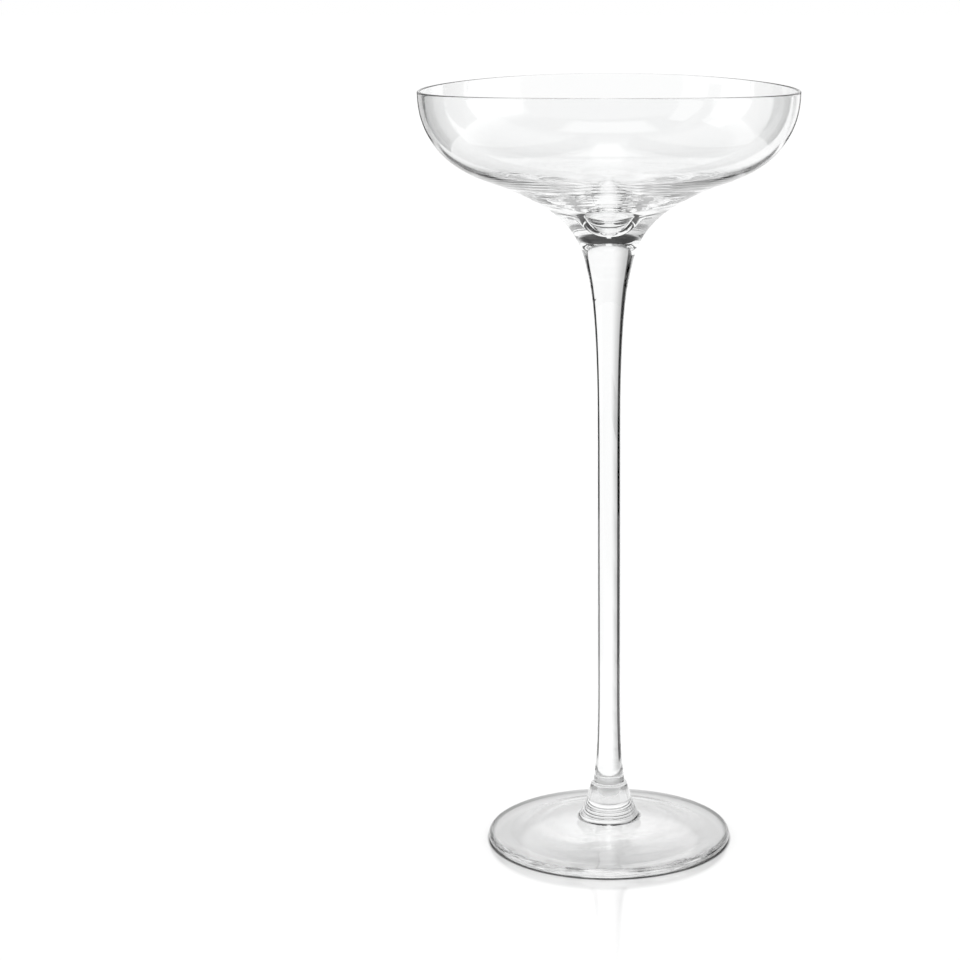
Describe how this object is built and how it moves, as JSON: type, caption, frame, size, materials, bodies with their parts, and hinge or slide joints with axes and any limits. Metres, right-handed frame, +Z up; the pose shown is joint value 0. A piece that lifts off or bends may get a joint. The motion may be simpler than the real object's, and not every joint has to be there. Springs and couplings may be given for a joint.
{
  "type": "champagne saucer",
  "caption": "Clear stemmed glass with a shallow round bowl on a tall slim stem and a flat round foot, for serving sparkling wine.",
  "frame": {"origin": "centre of the foot's underside, on the surface that the glass stands on", "axes": "+Z up along the stem's axis, towards the rim; X and Y are any two directions across the round glass"},
  "size_m": [0.105, 0.105, 0.217],
  "materials": {
    "clear_glass": "polished"
  },
  "bodies": {
    "root": {"bowl": "clear_glass", "stem": "clear_glass", "foot": "clear_glass"}
  },
  "joints": []
}
